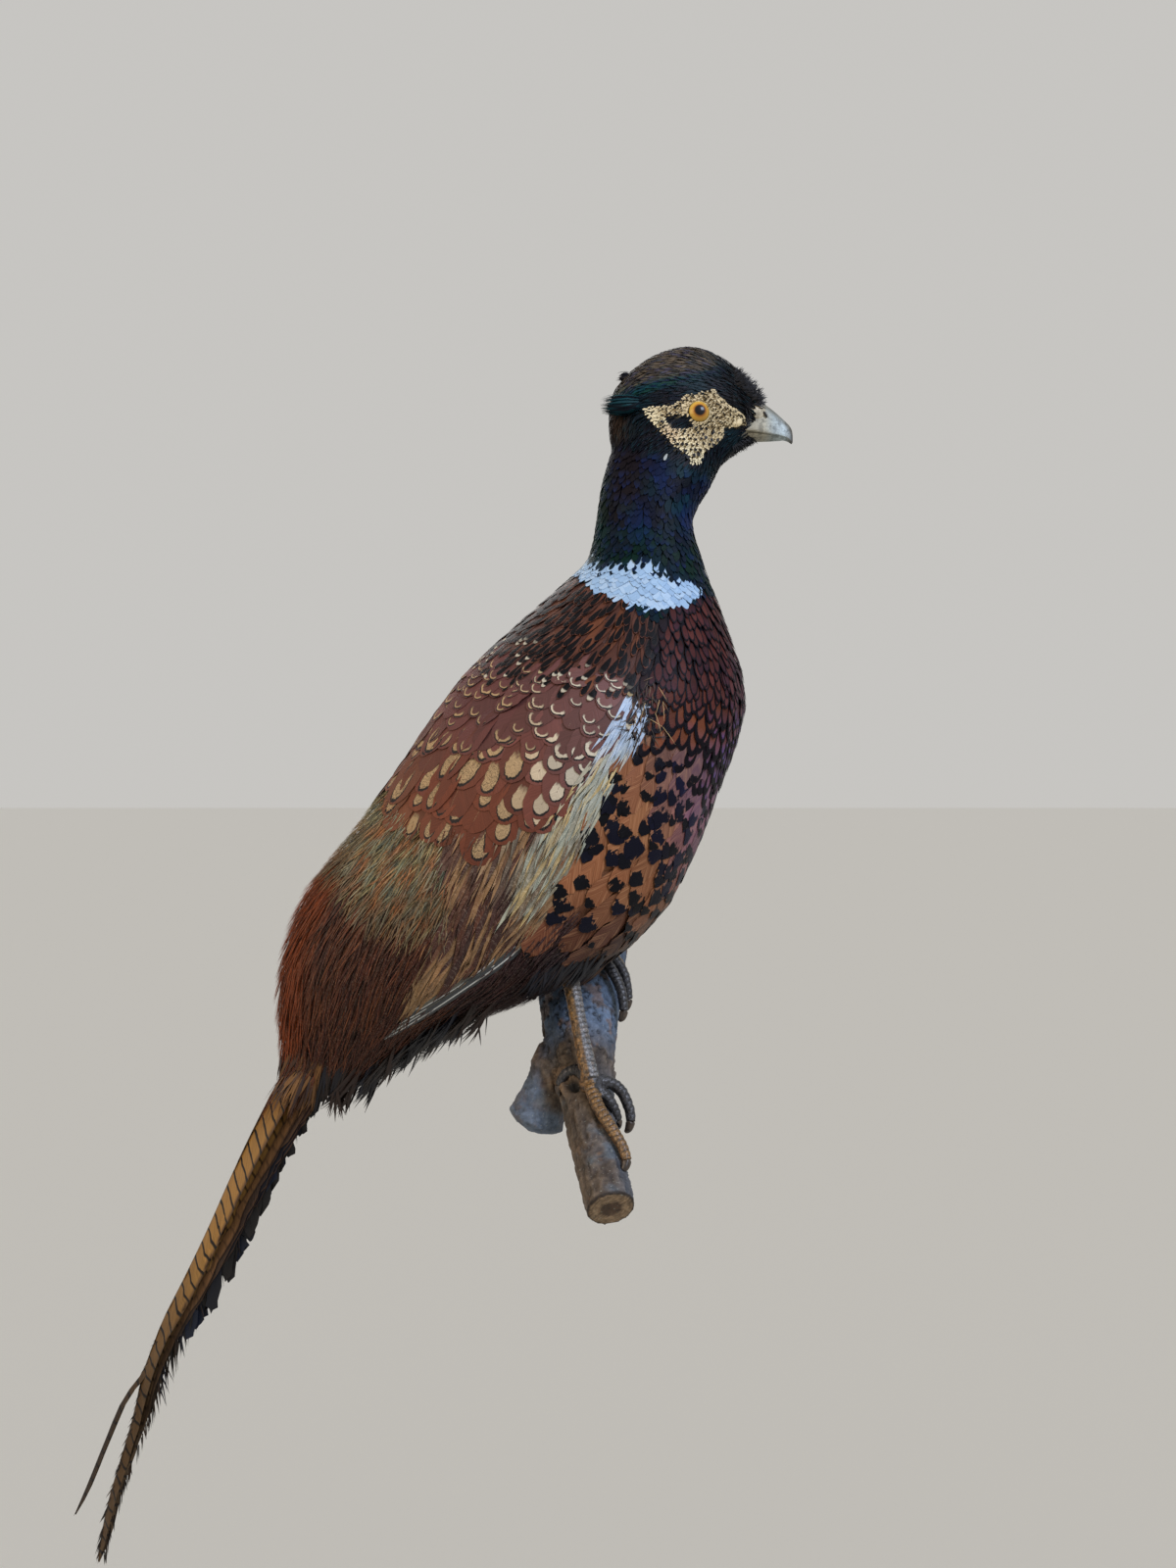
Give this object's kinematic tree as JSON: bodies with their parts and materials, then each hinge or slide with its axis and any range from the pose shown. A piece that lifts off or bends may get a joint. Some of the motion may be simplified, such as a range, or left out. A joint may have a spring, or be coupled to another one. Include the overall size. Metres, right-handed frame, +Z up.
{
  "type": "taxidermy pheasant",
  "caption": "Life-size mounted cock pheasant with a white neck ring, standing on a sawn branch that fixes flat to a wall; a still model.",
  "frame": {"origin": "centre of the branch's flat sawn back face, which lies on the wall", "axes": "+Y into the wall, out of the back face; +Z up; +X along the wall towards the bird's beak"},
  "size_m": [0.3945, 0.2119, 0.6709],
  "materials": {
    "branch_wood": "rough bark, worn smooth and blue-grey in places, with sawn ends",
    "head_plumage": "short glossy green-black and bronze feathers",
    "neck_plumage": "glossy blue-black feathers with green and violet sheen",
    "white_plumage": "soft white feathers",
    "body_plumage": "copper and chestnut feathers with black edges and spots, satin",
    "wing_plumage": "chestnut and buff wing feathers, satin",
    "quill_plumage": "grey flight feathers with pale shafts",
    "dark_plumage": "loose blackish-brown down",
    "tail_plumage": "golden-brown tail feathers with black bars",
    "bill_horn": "smooth pale horn",
    "glass_eye": "polished glass eye with an amber iris",
    "leg_scale": "dry horny scales",
    "claw_horn": "dark horn"
  },
  "bodies": {
    "root": {"branch": "branch_wood", "head": "head_plumage", "neck": "neck_plumage", "neck_ring": "white_plumage", "crown_tuft": "head_plumage", "ear_tuft_near": "head_plumage", "ear_tuft_far": "head_plumage", "bill_upper": "bill_horn", "bill_lower": "bill_horn", "eye_near": "glass_eye", "eye_far": "glass_eye", "trunk": "body_plumage", "wing_near": "wing_plumage", "wing_far": "wing_plumage", "quills_near": "quill_plumage", "quills_far": "quill_plumage", "thigh_near": "dark_plumage", "thigh_far": "dark_plumage", "tail": "tail_plumage", "tail_tip_upper": "tail_plumage", "tail_tip_lower": "tail_plumage", "shank_near": "leg_scale", "shank_far": "leg_scale", "toe_outer_near": "leg_scale", "toe_middle_near": "leg_scale", "toe_inner_near": "leg_scale", "toe_hind_near": "leg_scale", "toe_outer_far": "leg_scale", "toe_middle_far": "leg_scale", "toe_inner_far": "leg_scale", "toe_hind_far": "leg_scale", "claw_outer_near": "claw_horn", "claw_middle_near": "claw_horn", "claw_inner_near": "claw_horn", "claw_hind_near": "claw_horn", "claw_outer_far": "claw_horn", "claw_middle_far": "claw_horn", "claw_inner_far": "claw_horn", "claw_hind_far": "claw_horn"}
  },
  "joints": []
}
